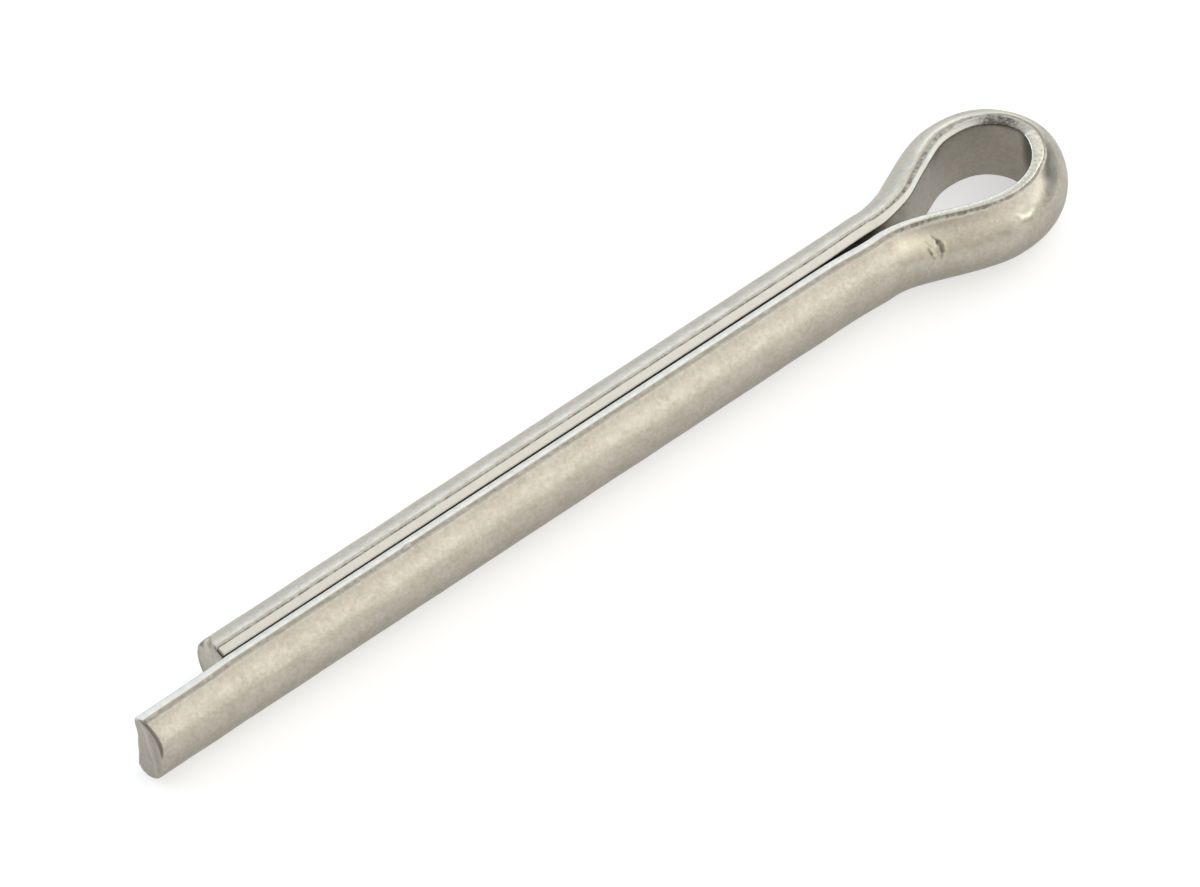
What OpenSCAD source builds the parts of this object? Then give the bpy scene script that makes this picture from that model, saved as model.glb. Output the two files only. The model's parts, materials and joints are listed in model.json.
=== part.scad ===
// Cotter pin: half-round wire bent double, with an eye at the fold and two legs that lie flat to flat.
// Millimetres. The shank's axis is X. The necks start at X = 0, the legs run to +X and the eye is at -X.
// The eye lies in the XY plane, and the pin rests on the narrow lands along the edges of its flat faces.

/* [Wire] */
// Diameter across the two closed legs
shank_d = 2.9; // [2.6:0.02:3.2]
// Gap between the flat faces of the two legs
leg_gap = 0.12; // [0.04:0.01:0.3]
// Height of the wire's flat face
flat_h = 2.62; // [2.3:0.02:2.7]
// Slope of the narrow land along each edge of the flat face
land_slope = 13; // [4:1:18]

/* [Legs] */
// Length of the short leg, from its neck to its end
short_leg = 27.1; // [12:0.1:60]
// How far the long leg reaches past the short one
leg_step = 3.6; // [0:0.1:8]
// Slant of each leg's sheared end, set back on the outside
shear_slant = 2; // [0:0.5:15]

/* [Eye] */
// Radius of the flat face around the eye
eye_r = 1.52; // [1.4:0.01:2]
// Distance from the start of the necks to the far wall inside the eye
eye_reach = 6.24; // [5.8:0.02:9]
// Thickness of the wire around the eye
eye_wire = 1.26; // [1.1:0.01:1.4]
// Radius of the flat face at each neck
neck_r = 2.63; // [2.2:0.01:3]

/* [Hidden] */
$fn = 96;
shank_r = shank_d / 2;
eye_x = eye_r - eye_reach;
eye_axis_r = eye_r + eye_wire - shank_r;
neck_y = leg_gap / 2 + neck_r;
// Larger than any part of the wire's section, for cuts that have to clear it
clear = 2 * shank_d;

// Each side of the pin follows a leg, an arc about (0, neck_y), a straight run and an arc about
// (eye_x, 0). These give the turn at the neck and the straight run's length from the two arcs' radii.
centres = norm([eye_x, neck_y]);
function neck_turn(neck, eye) = asin((neck + eye) / centres) - atan2(neck_y, -eye_x);
function run_length(neck, eye) = sqrt(pow(centres, 2) - pow(neck + eye, 2));

// All the space on one side of the plane X = 0
module behind() {
    translate([-2 * clear, -clear, -clear]) cube([2 * clear, 2 * clear, 2 * clear]);
}

// Turns a profile about the Z axis, without the part of it that lies past the axis
module turned() {
    rotate_extrude() intersection() {
        children();
        translate([0, -clear]) square([2 * clear, 2 * clear]);
    }
}

// Sweeps a profile, drawn as (distance outwards, height), along one side of the pin
module sweep_side(neck, eye, leg) {
    turn = neck_turn(neck, eye);
    run = run_length(neck, eye);
    translate([0, neck_y - neck, 0]) rotate([90, 0, 90]) linear_extrude(leg) children();
    translate([0, neck_y, 0]) {
        difference() {
            intersection() {
                turned() translate([neck, 0]) mirror([1, 0]) children();
                behind();
            }
            rotate([0, 0, -turn]) behind();
        }
        rotate([0, 0, -turn]) translate([-run, -neck, 0]) {
            rotate([90, 0, 90]) linear_extrude(run) children();
            translate([0, -eye, 0]) intersection() {
                turned() translate([eye, 0]) children();
                behind();
            }
        }
    }
}

// The wire's round back, before its flat face and lands are cut
module round_back() {
    circle(shank_r);
}

// Everything that the half-round section leaves out: the far side of the flat face, and above each land
module cut_away() {
    land_rise = clear * tan(land_slope);
    polygon([
        [-clear, -clear], [clear, -clear],
        [clear, -flat_h / 2 - land_rise], [0, -flat_h / 2],
        [0, flat_h / 2], [clear, flat_h / 2 + land_rise],
        [clear, clear], [-clear, clear]
    ]);
}

module side(leg) {
    intersection() {
        difference() {
            sweep_side(neck_y, eye_axis_r, leg) round_back();
            sweep_side(neck_r, eye_r, leg + clear) cut_away();
            translate([leg, leg_gap / 2, 0]) rotate([0, 0, 180 + shear_slant]) behind();
        }
        translate([-clear - leg, 0, -clear]) cube([2 * (clear + leg), clear, 2 * clear]);
    }
}

module cotter_pin() {
    color("silver") {
        side(short_leg + leg_step);
        mirror([0, 1, 0]) side(short_leg);
    }
}

cotter_pin();
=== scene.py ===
"""Cotter pin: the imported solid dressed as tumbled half-round steel wire, on a pale floor.

The pin lies along X: the legs run to +X from the necks at X = 0, and the eye is at -X in the XY plane.
Lengths below are in millimetres unless a name says otherwise, and MM turns them into metres.
"""
import json
import math

import bpy
import numpy as np
from mathutils import Matrix, Vector


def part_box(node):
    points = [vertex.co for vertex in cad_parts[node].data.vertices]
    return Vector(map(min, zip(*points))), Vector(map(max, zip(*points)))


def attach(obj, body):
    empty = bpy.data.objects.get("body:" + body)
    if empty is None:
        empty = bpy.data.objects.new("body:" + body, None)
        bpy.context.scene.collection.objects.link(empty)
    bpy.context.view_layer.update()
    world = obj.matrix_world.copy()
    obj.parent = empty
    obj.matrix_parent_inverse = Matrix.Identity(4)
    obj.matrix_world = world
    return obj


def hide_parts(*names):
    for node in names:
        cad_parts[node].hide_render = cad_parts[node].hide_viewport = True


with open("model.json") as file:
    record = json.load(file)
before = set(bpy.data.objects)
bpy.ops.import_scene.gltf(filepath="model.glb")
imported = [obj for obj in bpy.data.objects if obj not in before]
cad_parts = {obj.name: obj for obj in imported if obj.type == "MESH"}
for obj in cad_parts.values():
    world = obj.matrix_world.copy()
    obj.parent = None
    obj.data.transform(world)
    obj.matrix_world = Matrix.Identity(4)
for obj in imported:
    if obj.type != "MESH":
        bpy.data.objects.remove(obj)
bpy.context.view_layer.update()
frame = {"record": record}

MM = 0.001
NODE = "cotter_pin"
low, high = (np.array(corner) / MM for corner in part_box(NODE))
shank_r = frame["record"]["mounts"][0]["dims"]["r_mm"]

# The line that the wire's flat face follows. Each half of the eye opens from the neck as u**opens and
# closes at the far end as (1 - u)**closes, where u runs from 0 at the neck to 1 at the far end. half_width
# is the most that it opens, and skew moves that place along the eye.
LONG, SHORT = 1, -1
# Half the gap between the legs, at the neck and at the short leg's end
half_gap = {"neck": 0.026, "end": 0.015}
# The legs' nominal ends lie leg_step (short) and end_margin (long) before the solid's end
leg_step, end_margin = 3.66, 0.01
leg_end = {LONG: high[0] - end_margin, SHORT: high[0] - leg_step}
# Past the short leg's end the long leg's flat draws back: distance past that end, and from the pin's middle
flat_at_tip = ((1.1, 0.065), (leg_step, 0.095))
# Both halves start to open before the neck: how far, and the middle and spread of that along X
early_opening = {LONG: 0.1, SHORT: 0.04}
opening_middle, opening_spread = 0.5, 1.1
neck_start = {LONG: 0.31, SHORT: 0.02}
eye_end, eye_shift = -6.28, 0.04
half_width = {LONG: 1.415, SHORT: 1.335}
opens = {LONG: 1.76, SHORT: 2.26}
skew = {LONG: -0.14, SHORT: -0.5}
closes = 0.59

# The section at four places from the neck (0) to the eye's far end (1), in each half of the pin
PLACES = (0, 0.33, 0.66, 1)
wire = {LONG: (1.39, 1.395, 1.38, 1.21), SHORT: (1.395, 1.305, 1.38, 1.21)}
land_width = {LONG: (0.33, 0.25, 0.31, 0.35), SHORT: (0.33, 0.21, 0.22, 0.35)}
# The groove outside the land: how far it runs before and after the land's edge, its depth, how sharply
# its outer side is cut (1 leaves a lip that faces up) and its tone, dirt with painted shade in the hollow
groove_before = {LONG: (0.05, 0.05, 0.05, 0.03), SHORT: (0.05, 0.04, 0.04, 0.03)}
groove_after = {LONG: (0.15, 0.18, 0.13, 0.04), SHORT: (0.085, 0.22, 0.27, 0.04)}
groove_depth = {LONG: (0.035, 0.06, 0.05, 0.0), SHORT: (0.035, 0.04, 0.038, 0.0)}
groove_cut = {LONG: (2, 2, 2, 2), SHORT: (2, 1, 1, 2)}
groove_dirt_and_shade_tone = {LONG: (0.66, 1.0, 0.85, 0.8), SHORT: (0.9, 0.9, 0.8, 0.7)}
# Where the groove's dirt and painted shade lie: below 1 they lean towards the land
TONE_LEAN = {LONG: 0.45, SHORT: 0.6}
# Where the flat of the short half stands proud and where it is worn back: middle and spread in u, and depth
flat_wear = {LONG: (), SHORT: ((0.29, 0.09, -0.055), (0.63, 0.1, 0.065))}
# The land is this much wider round the eye's far end
FAR_LAND = 0.1
# Height of the flat's edge above and below the eye's plane, at the same four places
flat_top = (1.305, 1.37, 1.37, 1.37)
flat_base = (1.305, 1.36, 1.36, 1.36)
# How far the land falls towards the groove and how much it swells between, the radius of the flat's edges,
# the middle of the section, and how far outside the wire, beyond the flat, the back's centre lies
land_step, land_swell = 0.022, 0.008
edge_r = 0.055
section_middle = 0.55
back_centre = 0.06
# Painted shade on the flat's edges along the legs, beside the gap between them, and painted highlight on the
# groove's outer lip
EDGE_PAINTED_SHADE, LIP_PAINTED_HIGHLIGHT = 0.45, 0.4
# Painted shade: the back is darker from the first of these angles to the second, in degrees from the top
UNDER_PAINTED_SHADE, UNDER_TURN = 0.4, (58, 118)

# Points along the line of one half, and how close the rings stand: along the leg, and how much closer
# round the eye, at a leg's end and at the marks, which lie at these X
LEG_POINTS, EYE_POINTS = 500, 600
LEG_SPACING, EYE_CLOSER, END_CLOSER, MARK_CLOSER = 0.13, 0.07, 0.1, 0.028
MARKS_AT = (-1.2, -4.0)
# Steps round the section: over the back, and over the edge, land, groove and flat of each quarter
BACK_STEPS, EDGE_STEPS, LAND_STEPS, GROOVE_STEPS, FLAT_STEPS = 66, 4, 4, 6, 10

# How far the sheared ends are set back, by angle round the section: 0 is the top and 90 the outside.
# Each entry is the angle, the spread in degrees and the setback, which fades out over SETBACK_REACH.
SETBACKS = {
    LONG: ((-60, 30, 0.06), (-125, 50, 0.06), (25, 42, 0.115), (-23, 10, -0.06)),
    SHORT: ((32, 26, 0.28), (62, 9, -0.07), (-8, 22, -0.08)),
}
SETBACK_REACH = 0.6
# Painted shade along the rounded edge round each sheared end: middle and spread in degrees, its width, and
# its tone
SHEAR_EDGE_SHADE = {LONG: (24, 35, 0.17), SHORT: (-20, 17, 0.10)}
SHEAR_SHADE_TONE = 0.9
# Radius round a sheared face, and what the worn corner adds to it: middle and spread in degrees
END_ROUND, CORNER_ROUND = 0.045, 0.08
WORN_CORNER = (-150, 22)
# A sheared face is darkened by FACE_TONE and is dished to FACE_DEPTH. A ridge runs down it at RIDGE_AT from
# the flat, aslant, with a painted highlight on it and painted shadow beside it. The cap that closes it has
# rings at these shares of its rim.
FACE_TONE = {LONG: 0.3, SHORT: 0.0}
FACE_DEPTH = {LONG: 0.11, SHORT: 0.06}
RIDGE = {LONG: 0.05, SHORT: 0.0}
RIDGE_AT, RIDGE_SLANT = 0.8, 0.35
CAP_RINGS = (0.96, 0.9, 0.8, 0.66, 0.5, 0.33, 0.16)
# Edges stay sharp where the faces beside them turn by more than this, in degrees
SHARP_FROM = 38

# Marks on the back of the long half's eye: dents and a nick left by the bending tool, darkened in their dents
# and with painted highlights on their raised parts, and among them patches of painted shade and highlight
# alone. Each is a path of places (distance from the long leg's end, degrees round the back), its width, its
# depth, and its tone: 1 dark, -1 bright.
TOOL_MARKS_AND_PAINTED_LIGHT = (
    (((32.30, 36), (32.41, 41), (32.50, 45)), 0.035, 0.025, 0.9),
    (((32.50, 45), (32.56, 50), (32.57, 58)), 0.085, 0.06, 1.0),
    (((32.58, 60), (32.55, 66)), 0.05, 0.012, 0.45),
    # Painted highlight on the crescent's raised lip
    (((32.39, 43), (32.41, 51)), 0.04, -0.02, -0.3),
    (((32.04, 41), (32.20, 49)), 0.045, 0.008, 0.35),
    (((32.11, 53), (32.18, 59)), 0.055, 0.025, 0.9),
    (((32.18, 59), (32.28, 67)), 0.04, 0.012, 0.5),
    # Painted highlight on a raised strip beside the second stroke
    (((32.26, 55), (32.34, 62)), 0.045, -0.010, -0.2),
    # A broad darker patch beside the crescent
    (((32.9, 58), (33.5, 50)), 0.3, 0.0, 0.18),
    # The V nick: painted highlight along it, then painted shade below it
    (((35.10, 42), (35.20, 49)), 0.055, -0.008, -0.3),
    (((35.20, 49), (35.37, 51)), 0.08, -0.010, -0.6),
    (((35.37, 51), (35.56, 48)), 0.06, -0.008, -0.5),
    (((35.18, 56), (35.42, 57)), 0.06, 0.010, 0.4),
    # Painted dark reflection at the eye's far end, and a painted highlight where it stops
    (((37.05, 24), (36.75, 26), (36.45, 32)), 0.2, 0.0, 0.8),
    (((36.15, 32), (35.85, 38)), 0.22, 0.0, -0.6),
    # Painted highlight on the bend near the neck
    (((31.2, 36), (32.0, 42)), 0.4, 0.0, -0.4),
)


def smooth(x, start, end):
    """0 up to start, 1 from end, and a smooth ramp between."""
    t = np.clip((x - start) / (end - start), 0, 1)
    return t * t * (3 - 2 * t)


def bump(x, centre, width):
    """A smooth hump, 1 at its centre."""
    return np.exp(-(((x - centre) / width) ** 2))


class Noise:
    """Smooth seeded noise from a sum of sines, in one or two coordinates."""

    def __init__(self, seed, wavelength, waves=24):
        rng = np.random.default_rng(seed)
        angle = rng.uniform(0, 2 * math.pi, waves)
        rate = 2 * math.pi / wavelength * rng.uniform(0.5, 1.6, waves)
        self.kx, self.ky = rate * np.cos(angle), rate * np.sin(angle)
        self.phase = rng.uniform(0, 2 * math.pi, waves)

    def __call__(self, x, y=0.0):
        x, y = np.broadcast_arrays(np.asarray(x, float), np.asarray(y, float))
        waves = np.sin(x[..., None] * self.kx + y[..., None] * self.ky + self.phase)
        return waves.sum(-1) / math.sqrt(len(self.phase) / 2)


def wear(u, side):
    """How far the flat is worn back at u."""
    total = 0 * u
    for middle, spread, depth in flat_wear[side]:
        total = total + depth * bump(u, middle, spread)
    return total


def half_line(side):
    """Dense points of the flat face from a leg's end to the eye's far end, and u at each."""
    u = 1 - (1 - np.linspace(0, 1, EYE_POINTS)) ** 2
    drop = u ** opens[side] * (1 - u) ** closes * (1 + skew[side] * u)
    x = neck_start[side] + (eye_end - neck_start[side]) * u
    y = half_gap["neck"] * (1 - u**6) + half_width[side] * drop / drop.max() + side * eye_shift * u**6
    y += wear(u, side)
    leg_x = np.linspace(leg_end[side], neck_start[side], LEG_POINTS)[:-1]
    gap_x = [0, leg_end[SHORT]] + [leg_end[SHORT] + past for past, _ in flat_at_tip]
    gap_y = [half_gap["neck"], half_gap["end"]] + [away for _, away in flat_at_tip]
    leg_y = np.interp(leg_x, gap_x, gap_y)
    points = np.stack([np.append(leg_x, x), np.append(leg_y, y)], 1)
    points[:, 1] += early_opening[side] * bump(points[:, 0], opening_middle, opening_spread)
    points[:, 1] *= side
    return points, np.append(0 * leg_x, u)


def ring_spacing(x, side):
    """Rings stand close together at a leg's end and round the eye, and further apart along the leg."""
    closer = EYE_CLOSER * smooth(-x, -1.2, 0.3) + END_CLOSER * bump(x, leg_end[side], 0.45)
    if side == LONG:
        closer = closer + MARK_CLOSER * sum(bump(x, middle, 0.5) for middle in MARKS_AT)
    return LEG_SPACING - closer


def half_rings(side):
    """The rings of one half: position, u, distance from the leg's end and the way out of the eye."""
    points, u = half_line(side)
    step = np.linalg.norm(np.diff(points, axis=0), axis=1)
    length = np.append(0, np.cumsum(step))
    middle = (points[1:, 0] + points[:-1, 0]) / 2
    count = np.append(0, np.cumsum(step / ring_spacing(middle, side)))
    at = np.interp(np.linspace(0, count[-1], int(round(count[-1])) + 1), count, length)
    line = np.stack([np.interp(at, length, points[:, k]) for k in (0, 1)], 1)
    tangent = np.gradient(line, at, axis=0)
    tangent[-1] = (0, -side)
    tangent /= np.linalg.norm(tangent, axis=1)[:, None]
    out = side * np.stack([tangent[:, 1], -tangent[:, 0]], 1)
    return {"line": line, "out": out, "u": np.interp(at, length, u), "at": at, "side": side}


def at_places(values, u):
    """A section size at each ring, eased between the four places."""
    return np.interp(u, PLACES, values)[:, None]


def back_height(q, thickness):
    """Height of the round back at a distance from the flat face."""
    share = (q + back_centre) / (thickness + back_centre)
    return shank_r * np.sqrt(np.clip(1 - share**2, 0, 1))


def quarter(thickness, land, flat, groove, pits, u):
    """The flat face, edge, land and groove above or below the eye's plane: distance, height and masks."""
    far = smooth(u, 0.75, 1)[:, None]
    before, after, depth, cut, tone, lean = groove
    inner, outer = land - before, land + after
    rise = back_height(inner, thickness) - land_step * (1 - far)
    fall = back_height(outer, thickness) - rise
    up = np.linspace(0, 1, FLAT_STEPS)[None, 1:]
    turn = np.linspace(0, math.pi / 2, EDGE_STEPS + 1)[None, 1:]
    across = np.linspace(0, 1, LAND_STEPS + 1)[None, 1:]
    dip = np.linspace(0, 1, GROOVE_STEPS + 1)[None, 1:]
    zero = 0 * flat

    sunk = depth * np.sin(math.pi * dip**0.75).clip(0, 1) ** cut * (1 + (pits - 1) * (cut - 1))
    q = [zero * up, edge_r * (1 - np.cos(turn)) + zero, edge_r + (inner - edge_r) * across]
    q.append(inner + (outer - inner) * dip)
    z = [up * (flat - edge_r), flat - edge_r + edge_r * np.sin(turn)]
    z.append(flat + (rise - flat) * across + land_swell * np.sin(math.pi * across))
    z.append(rise + fall * dip - sunk)

    # Painted shade on the rounded edges of the flat along the legs, beside the gap
    edge = EDGE_PAINTED_SHADE * np.sin(2 * turn) * (1 - smooth(u, 0, 0.06))[:, None]
    # Dirt in the groove, with painted shade in its hollow
    groove_dirt_and_shade = tone * np.sin(math.pi * dip**lean) ** 2 * np.minimum(pits, 1)
    groove_dirt_and_shade = groove_dirt_and_shade * (1 - smooth(u, 0.91, 0.99))[:, None]
    # Painted highlight on the groove's outer lip, where it faces up
    lip = LIP_PAINTED_HIGHLIGHT * (2 - cut) * bump(dip, 0.88, 0.2)
    dark = [zero * up, zero + edge, zero * across, groove_dirt_and_shade - lip]
    land_mask = [zero * up, zero * turn + 1, zero * across + 1, zero * dip]
    return [np.hstack(parts) for parts in (q, z, dark, land_mask)]


def stroke(at, arc, path, width):
    """A ridge of height 1 along a path over the back, by distance along the wire and round it."""
    nearest = np.full(np.broadcast(at, arc).shape, np.inf)
    places = [(place[0], shank_r * math.radians(place[1])) for place in path]
    for (x0, y0), (x1, y1) in zip(places, places[1:]):
        dx, dy = x1 - x0, y1 - y0
        t = np.clip(((at - x0) * dx + (arc - y0) * dy) / (dx * dx + dy * dy), 0, 1)
        nearest = np.minimum(nearest, np.hypot(at - x0 - t * dx, arc - y0 - t * dy))
    return bump(nearest, 0, width)


def tool_marks_and_painted_light(at, turn):
    """Depth of the long half's marks at each point of the back, and their tone with its painted shade and
    highlights.
    """
    depth, shade = 0 * turn * at, 0 * turn * at
    for path, width, deep, tone in TOOL_MARKS_AND_PAINTED_LIGHT:
        line = stroke(at, shank_r * turn, path, width)
        depth = depth + deep * line
        shade = shade + tone * line
    return depth, shade.clip(-1, 1)


def wire_thickness(rings):
    """Distance from the flat to the outside of the round back at each ring."""
    side, u, line = rings["side"], rings["u"], rings["line"]
    in_eye = at_places(wire[side], u)
    on_leg = shank_r - np.abs(line[:, 1:])
    thickness = in_eye + (on_leg - in_eye) * (1 - smooth(-line[:, :1], -2.2, -neck_start[side]))
    return thickness - wear(u, side)[:, None]


def both_quarters(rings, thickness):
    """The quarters above and below the eye's plane, as quarter() gives them."""
    side, u, at = rings["side"], rings["u"], rings["at"][:, None]
    width = at_places(land_width[side], u) + FAR_LAND * smooth(u, 0.88, 0.97)[:, None]
    groove = (groove_before, groove_after, groove_depth, groove_cut, groove_dirt_and_shade_tone)
    groove = [at_places(values[side], u) for values in groove] + [TONE_LEAN[side]]
    quarters = []
    for flat, row in ((flat_top, 7.0 * side), (flat_base, 9.0)):
        pits = (0.85 + 0.2 * Noise(3, 0.24)(at, row)).clip(0.1, 1.3)
        quarters.append(quarter(thickness, width, at_places(flat, u), groove, pits, u))
    return quarters


def back_tone_and_painted_light(rings, turn, start):
    """Tone of the round back: darker beside the groove along the long half, a painted highlight on the rim
    beside the groove round the eye's far part, and painted shade on the underside.
    """
    u = rings["u"][:, None]
    if rings["side"] == LONG:
        # Long half: darker beside the groove, and towards the eye's far end, from u = 0.97, a painted
        # highlight on the rim
        rim = 0.09 + 0.35 * bump(u, 0.36, 0.2) - 0.8 * smooth(u, 0.97, 1)
        tone = rim * bump(turn, start, 0.17)
    else:
        # Short half: painted highlight on the rim beside the groove, round the far part of the eye
        rim = 0.35 * smooth(u, 0.45, 0.6) + 0.55 * smooth(u, 0.85, 0.95)
        tone = -rim * bump(turn, start, 0.16)
    # Painted shade over the underside of the back
    return tone + UNDER_PAINTED_SHADE * smooth(turn, *np.radians(UNDER_TURN))


def back_surface(rings, thickness, groove_end):
    """Distance, height and tone over the round back, from one groove to the other."""
    at = rings["at"][:, None]
    start = np.arcsin(np.clip((groove_end + back_centre) / (thickness + back_centre), -1, 1))
    turn = start + (math.pi - 2 * start) * np.linspace(0, 1, BACK_STEPS + 1)[None, 1:-1]
    ripple = Noise(5, 1.9)(at, shank_r * turn) * 0.003
    ripple += Noise(6, 0.6)(at, shank_r * turn) * 0.001
    ripple += Noise(9, 0.3)(at / 10, shank_r * turn) * 0.0012
    ripple *= np.sin(math.pi * (turn - start) / (math.pi - 2 * start))
    tone = back_tone_and_painted_light(rings, turn, start)
    if rings["side"] == LONG:
        depth, mark_tone_and_painted_light = tool_marks_and_painted_light(at, turn)
        ripple, tone = ripple - depth, tone + mark_tone_and_painted_light
    q = -back_centre + (thickness + back_centre + ripple) * np.sin(turn)
    return q, (shank_r + ripple) * np.cos(turn), tone


def painted_land_highlight(rings, q, z):
    """Painted highlight on the upper land, most of all round the eye's far end, broken by a speckle."""
    u = rings["u"][:, None]
    if rings["side"] == LONG:
        glint = 0.15 * smooth(u, 0.1, 0.3) + 0.18 * smooth(u, 0.75, 0.93)
    else:
        glint = 0.33 * smooth(u, 0.85, 0.97)
    speckle = (1 + 0.6 * Noise(11, 0.1)(rings["at"][:, None], q)).clip(0, 2)
    return glint * smooth(z, 1.25, 1.32) * speckle


def far_scuff(rings, q, z):
    """The dull scuff on the short half's land, inside the eye's far end."""
    place = bump(rings["u"][:, None], 0.93, 0.06) * smooth(-q, -0.43, -0.28) * smooth(z, 1.27, 1.33)
    return (place * (1.5 + 0.3 * Noise(8, 0.12)(rings["at"][:, None], q))).clip(0, 1)


def half_surface(rings):
    """Distance from the flat face, height and the tone and land masks at each point of one half's rings."""
    thickness = wire_thickness(rings)
    top, base = both_quarters(rings, thickness)
    back_q, back_z, tone = back_surface(rings, thickness, top[0][:, -1:])
    base = [part[:, ::-1] for part in base]
    zero = 0 * thickness
    q = np.hstack([zero, top[0], back_q, base[0]])
    z = np.hstack([zero, top[1], back_z, -base[1]])
    dark = np.hstack([zero, top[2], tone, base[2]])
    land = np.hstack([zero, top[3], 0 * back_q, base[3]])

    u = rings["u"][:, None]
    # The flat face round the eye is made darker, more so towards the far end
    dull = (0.12 + 0.2 * smooth(u, 0.5, 0.9)) * smooth(u, 0.02, 0.2)
    dark = np.where((q < 0.02) & (dark == 0), dull, dark)
    # Painted highlight on the upper land
    dark = dark - land * painted_land_highlight(rings, q, z)
    if rings["side"] == SHORT:
        dark = dark + (1 - dark) * far_scuff(rings, q, z)
    return q, z, dark, land


def section_angle(q, z):
    """Degrees round the section's middle: 0 at the top, 90 on the outside, -90 on the flat face."""
    return np.degrees(np.arctan2(q - section_middle, z))


def degrees_from(angle, centre):
    """Degrees from a centre, the short way round."""
    return (angle - centre + 180) % 360 - 180


def setback(side, angle):
    """How far the sheared face lies behind the leg's nominal end, at an angle round the section."""
    total = 0 * angle
    for centre, spread, depth in SETBACKS[side]:
        total = total + depth * bump(degrees_from(angle, centre), 0, spread)
    return total


def shear_end(side, distance, q, z):
    """Set the last rings of a leg back, and round the edge of its face. Returns q, z and the setback."""
    angle = section_angle(q, z)
    back = setback(side, angle) * np.clip(1 - distance / SETBACK_REACH, 0, 1) ** 2
    corner, spread = WORN_CORNER
    radius = END_ROUND + CORNER_ROUND * bump(degrees_from(angle, corner), 0, spread)
    inside = np.clip(radius - distance, 0, None)
    inset = radius - np.sqrt(radius**2 - inside**2)
    keep = 1 - inset / np.hypot(q - section_middle, z)
    return section_middle + (q - section_middle) * keep, z * keep, back


def half_points(side):
    """The points of one half as a grid, ring by ring from the leg's end, with its three masks."""
    rings = half_rings(side)
    q, z, dark, land = half_surface(rings)
    pitted = smooth(dark, 0.1, 0.35) * (q > 0.06) * (side == SHORT)
    q, z, back = shear_end(side, rings["at"][:, None], q, z)
    line, out = rings["line"], rings["out"]
    grid = np.empty(q.shape + (3,))
    grid[..., 0] = line[:, :1] + out[:, :1] * q - back
    grid[..., 1] = line[:, 1:] + out[:, 1:] * q
    grid[..., 2] = z
    middle, spread, breadth = SHEAR_EDGE_SHADE[side]
    along = bump(section_angle(q, z), middle, spread)
    # Painted shade at the rounded edge of the sheared face
    shear_shade = 1 - smooth(rings["at"][:, None], breadth * along * 0.65, breadth * along + 0.01)
    shear_shade = SHEAR_SHADE_TONE * shear_shade * smooth(along, 0.05, 0.6)
    return grid, np.where(shear_shade > 0, np.maximum(dark, shear_shade), dark), land, pitted


def cap_rings(side, rim):
    """Rings that close a sheared end, from its rim inwards, and their tone: a ridge runs down the face, with
    a painted highlight on it and painted shadow beside it.
    """
    centre = np.array([0, side * (half_gap["end"] + section_middle), 0])
    rows, tones = [], []
    for scale in CAP_RINGS:
        row = centre + (rim - centre) * scale
        slanted = side * row[:, 1] - half_gap["end"] + RIDGE_SLANT * row[:, 2]
        inward = 1 - scale**4
        row[:, 0] = leg_end[side] - (leg_end[side] - rim[:, 0]) * scale**4 - FACE_DEPTH[side] * inward
        row[:, 0] += RIDGE[side] * bump(slanted, RIDGE_AT, 0.16) * inward
        rows.append(row)
        # Painted highlight along the ridge and painted shadow just beside it
        ridge_highlight_and_shadow = 4 * bump(slanted, RIDGE_AT + 0.3, 0.15) - 5 * bump(slanted, RIDGE_AT, 0.1)
        tones.append(FACE_TONE[side] + RIDGE[side] * ridge_highlight_and_shadow)
    return np.array(rows), np.array(tones)


def pin_grid():
    """Every ring of the pin: the short leg's cap, its half, the long leg's half and cap."""
    parts = {}
    for side in (SHORT, LONG):
        grid, dark, *masks = half_points(side)
        cap, tone = (rows[::-1] for rows in cap_rings(side, grid[0]))
        # The rim's tone, with the painted shade at the sheared edge, runs on over the cap's outer rings
        tone[-1] = dark[0] * 0.9
        tone[-2] = np.maximum(tone[-2], dark[0] * 0.5)
        pairs = [(cap, grid), (tone, dark)] + [(0 * tone, mask) for mask in masks]
        parts[side] = [np.concatenate(pair) for pair in pairs]
    return [np.concatenate([parts[SHORT][k], parts[LONG][k][-2::-1]]) for k in range(4)]


def pin_piece():
    """The whole pin as one closed mesh, with its three masks as attributes."""
    grid, dark, land, pitted = pin_grid()
    rings, points = dark.shape
    i, j = np.meshgrid(np.arange(rings - 1), np.arange(points), indexing="ij")
    k = (j + 1) % points
    faces = np.stack([i * points + j, (i + 1) * points + j, (i + 1) * points + k, i * points + k], -1)
    faces = faces.reshape(-1, 4).tolist()
    faces.append(list(range(points)))
    faces.append([(rings - 1) * points + n for n in reversed(range(points))])
    mesh = bpy.data.meshes.new("cotter_pin_wire")
    mesh.from_pydata((grid.reshape(-1, 3) * MM).tolist(), [], faces)
    mesh.update()
    for name, values in (("dark", dark), ("land", land), ("pitted", pitted)):
        layer = mesh.attributes.new(name, "FLOAT", "POINT")
        layer.data.foreach_set("value", values.reshape(-1).astype(np.float32))
    mesh.shade_smooth()
    mesh.set_sharp_from_angle(angle=math.radians(SHARP_FROM))
    piece = bpy.data.objects.new("cotter_pin_wire", mesh)
    bpy.context.scene.collection.objects.link(piece)
    return piece


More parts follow.
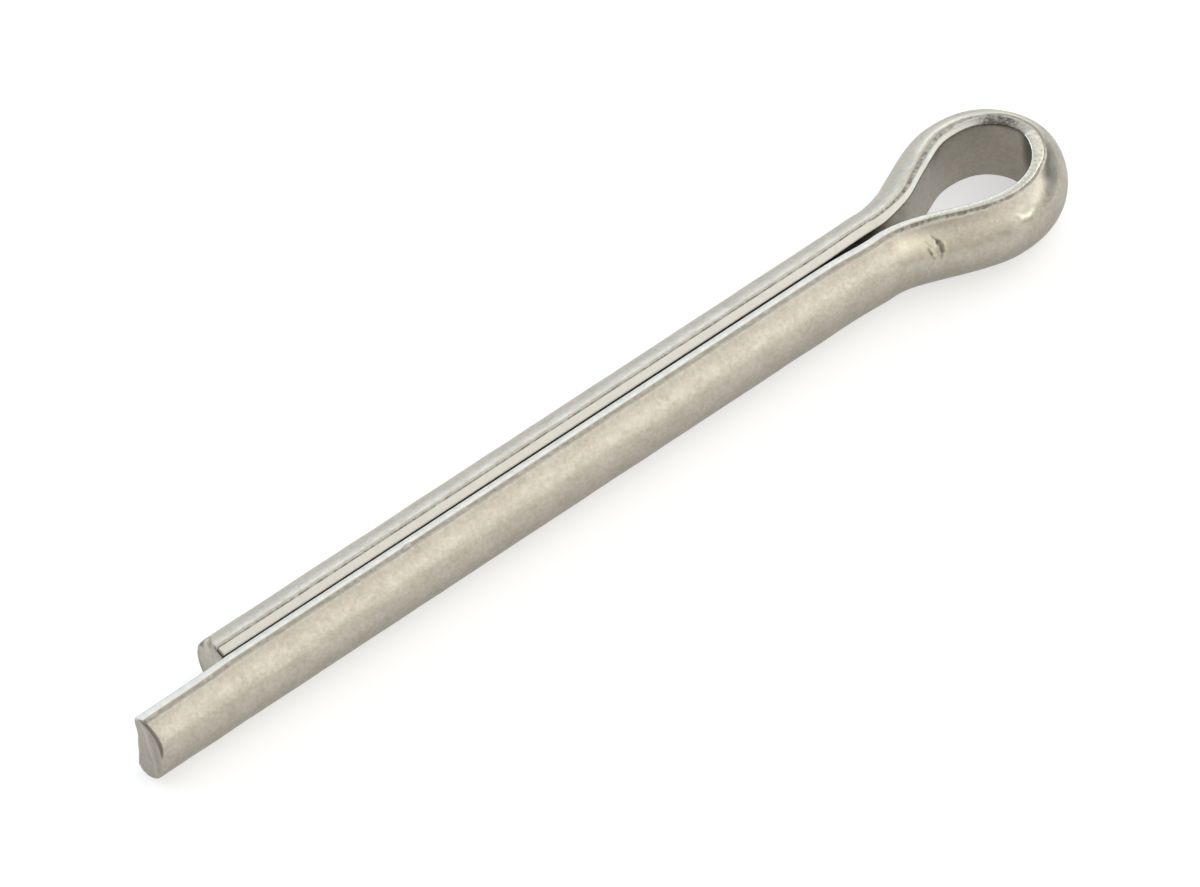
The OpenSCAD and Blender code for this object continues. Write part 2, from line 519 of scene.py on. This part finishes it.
class Shader:
    """Short-hand for building one node tree."""

    def __init__(self, tree):
        self.nodes, self.links = tree.nodes, tree.links

    def add(self, kind, values=None, **settings):
        """Add a node. Settings are its own, and values go to its inputs as constants or links."""
        node = self.nodes.new(kind)
        for name, value in settings.items():
            setattr(node, name, value)
        for name, value in (values or {}).items():
            if isinstance(value, bpy.types.NodeSocket):
                self.links.new(value, node.inputs[name])
            else:
                node.inputs[name].default_value = value
        return node

    def math(self, operation, first, second=0.0):
        return self.add("ShaderNodeMath", {0: first, 1: second}, operation=operation).outputs[0]

    def noise(self, place, scale, detail, rough=0.5):
        values = {"Vector": place, "Scale": scale, "Detail": detail, "Roughness": rough}
        return self.add("ShaderNodeTexNoise", values).outputs["Fac"]

    def ramp(self, value, start, end, first, last):
        values = {"Value": value, "From Min": start, "From Max": end, "To Min": first, "To Max": last}
        return self.add("ShaderNodeMapRange", values).outputs["Result"]

    def mix(self, factor, first, second):
        # Sockets 6, 7 and 2 of this node are its two colours and its mixed colour
        node = self.add("ShaderNodeMix", {"Factor": factor}, data_type="RGBA")
        for socket, value in ((node.inputs[6], first), (node.inputs[7], second)):
            if isinstance(value, bpy.types.NodeSocket):
                self.links.new(value, socket)
            else:
                socket.default_value = value
        return node.outputs[2]

    def mask(self, name):
        return self.add("ShaderNodeAttribute", attribute_name=name).outputs["Fac"]


def new_shader(name):
    """A material and the short-hand for its empty node tree."""
    material = bpy.data.materials.new(name)
    material.use_nodes = True
    material.node_tree.nodes.clear()
    return material, Shader(material.node_tree)


# Colours of the steel: the two that mottle it, the worn land, the painted highlight, and dirt with painted
# shade
DULL_STEEL, CLEAN_STEEL = (0.365, 0.335, 0.275, 1), (0.505, 0.475, 0.41, 1)
LAND_STEEL, PAINTED_HIGHLIGHT_STEEL = (0.475, 0.46, 0.41, 1), (0.85, 0.80, 0.64, 1)
DIRT_AND_SHADE_COLOUR = (0.12, 0.105, 0.09, 1)


def steel():
    """Tumbled steel: a satin warm grey metal, mottled and finely grained, with dark grooves, dirt and painted
    shade, and painted highlights.
    """
    material, make = new_shader("tumbled_steel")
    place = make.add("ShaderNodeTexCoord").outputs["Object"]
    mottle = make.ramp(make.noise(place, 1300, 3), 0.3, 0.7, 0.0, 0.4)
    speckle = make.ramp(make.noise(place, 6500, 4, 0.7), 0.35, 0.65, 0.0, 0.6)
    colour = make.mix(make.math("ADD", mottle, speckle), DULL_STEEL, CLEAN_STEEL)
    colour = make.mix(make.mask("land"), colour, LAND_STEEL)
    shade = make.mask("dark")
    # Painted highlights where the mask dark is below 0
    colour = make.mix(make.ramp(shade, 0, -1, 0.0, 1.0), colour, PAINTED_HIGHLIGHT_STEEL)
    pits = make.ramp(make.noise(place, 9000, 2), 0.4, 0.62, -0.45, 0.25)
    uneven = make.math("ADD", make.math("MULTIPLY", pits, make.mask("pitted")), 1)
    # Dirt and painted shade where the mask dark is above 0, uneven where the wire is pitted
    dirt_and_shade = make.math("MULTIPLY", make.ramp(shade, 0, 1, 0.0, 1.0), uneven)
    colour = make.mix(make.math("MINIMUM", dirt_and_shade, 1), colour, DIRT_AND_SHADE_COLOUR)
    grain = make.noise(place, 9000, 5, 0.6)
    bump_values = {"Strength": 0.4, "Distance": 0.00002, "Height": grain}
    values = {
        "Base Color": colour,
        "Metallic": 1.0,
        "Specular Tint": (0.85, 0.84, 0.83, 1),
        "Roughness": make.ramp(make.noise(place, 3500, 4), 0.3, 0.7, 0.27, 0.38),
        "Normal": make.add("ShaderNodeBump", bump_values).outputs["Normal"],
    }
    shader = make.add("ShaderNodeBsdfPrincipled", values)
    make.add("ShaderNodeOutputMaterial", {"Surface": shader.outputs[0]})
    return material


FLOOR_GREY, FLOOR_GLOW = (0.55, 0.55, 0.55, 1), (0.52, 0.52, 0.52, 1)


def floor_piece():
    """A pale floor under the pin, lifted to white where it is seen but still shaded by the pin."""
    size, z = 0.6, low[2] * MM
    mesh = bpy.data.meshes.new("floor")
    corners = [(-size, -size, z), (size, -size, z), (size, size, z), (-size, size, z)]
    mesh.from_pydata(corners, [], [(0, 1, 2, 3)])
    floor = bpy.data.objects.new("floor", mesh)
    bpy.context.scene.collection.objects.link(floor)
    material, make = new_shader("pale_floor")
    path = make.add("ShaderNodeLightPath").outputs
    seen = make.math("MAXIMUM", path["Is Camera Ray"], path["Is Glossy Ray"])
    seen = make.math("MAXIMUM", seen, path["Is Transmission Ray"])
    glow = make.add("ShaderNodeEmission", {"Color": FLOOR_GLOW, "Strength": seen})
    diffuse = make.add("ShaderNodeBsdfDiffuse", {"Color": FLOOR_GREY})
    both = make.add("ShaderNodeAddShader", {0: diffuse.outputs[0], 1: glow.outputs[0]})
    make.add("ShaderNodeOutputMaterial", {"Surface": both.outputs[0]})
    mesh.materials.append(material)
    return floor


# Soft boxes of the studio: direction round from +X and above the floor, spread, all in degrees, and colour
SOFT_BOXES = (
    ((0, 90), 20, (0.85, 0.8, 0.8)),
    ((118, 5), 17, (1.2, 1.15, 1.0)),
    ((118, 27), 17, (1.5, 1.55, 1.6)),
    ((118, 48), 17, (1.1, 1.0, 0.9)),
    ((-118, 5), 17, (1.1, 1.2, 1.5)),
    ((-118, 27), 17, (1.95, 2.05, 2.1)),
    ((180, 15), 28, (0.3, 0.35, 0.4)),
    ((180, 50), 28, (2.1, 2.1, 2.1)),
    ((60, 15), 28, (1.7, 1.6, 1.4)),
    ((60, 50), 28, (0.9, 0.9, 0.85)),
    ((-60, 15), 28, (3.8, 4.3, 4.7)),
)


def studio_world():
    """A dark room lit by soft boxes all round, white where the camera sees it."""
    world = bpy.data.worlds.new("studio")
    bpy.context.scene.world = world
    world.use_nodes = True
    world.node_tree.nodes.clear()
    make = Shader(world.node_tree)
    way = make.add("ShaderNodeTexCoord").outputs["Generated"]
    total = None
    for (turn, height), spread, colour in SOFT_BOXES:
        a, e = math.radians(turn), math.radians(height)
        middle = (math.cos(a) * math.cos(e), math.sin(a) * math.cos(e), math.sin(e))
        dot = make.add("ShaderNodeVectorMath", {0: way, 1: middle}, operation="DOT_PRODUCT")
        away = make.math("SUBTRACT", dot.outputs["Value"], 1)
        fade = make.math("MULTIPLY", away, 1 / (1 - math.cos(math.radians(spread))))
        values = {0: colour, "Scale": make.math("EXPONENT", fade)}
        box = make.add("ShaderNodeVectorMath", values, operation="SCALE").outputs[0]
        if total is None:
            total = box
        else:
            total = make.add("ShaderNodeVectorMath", {0: total, 1: box}, operation="ADD").outputs[0]
    room = make.add("ShaderNodeBackground", {"Color": total})
    white = make.add("ShaderNodeBackground", {"Color": (1, 1, 1, 1)})
    seen = make.add("ShaderNodeLightPath").outputs["Is Camera Ray"]
    both = make.add("ShaderNodeMixShader", {0: seen, 1: room.outputs[0], 2: white.outputs[0]})
    make.add("ShaderNodeOutputWorld", {"Surface": both.outputs[0]})


def direction(azimuth, elevation):
    """Unit vector from the pin towards a viewer. Azimuth 0 looks along +Y."""
    a, e = math.radians(azimuth), math.radians(elevation)
    return Vector((math.sin(a) * math.cos(e), -math.cos(a) * math.cos(e), math.sin(e)))


def camera():
    """The product view: the eye to the upper right, the long leg nearest."""
    azimuth, elevation, roll = 140.42, 52.93, 0.17
    distance = 0.3455
    aside = Vector((-9.274, -6.366)) * MM
    view = bpy.data.cameras.new("product_view")
    view.sensor_width, view.lens = 36, 317.3
    view.clip_start, view.clip_end = 0.01, 10
    obj = bpy.data.objects.new("product_view", view)
    bpy.context.scene.collection.objects.link(obj)
    back = direction(azimuth, elevation)
    turn = (-back).to_track_quat("-Z", "Y").to_matrix() @ Matrix.Rotation(math.radians(roll), 3, "Z")
    aim = Vector((-0.355, 0, 0)) * MM + turn @ Vector((aside.x, aside.y, 0))
    obj.location = aim + turn @ Vector((0, 0, distance))
    obj.rotation_mode = "QUATERNION"
    obj.rotation_quaternion = turn.to_quaternion()
    bpy.context.scene.camera = obj


bpy.context.scene.view_settings.view_transform = "Standard"
pin = pin_piece()
pin.data.materials.append(steel())
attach(pin, "root")
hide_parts(NODE)
floor_piece()
studio_world()
camera()
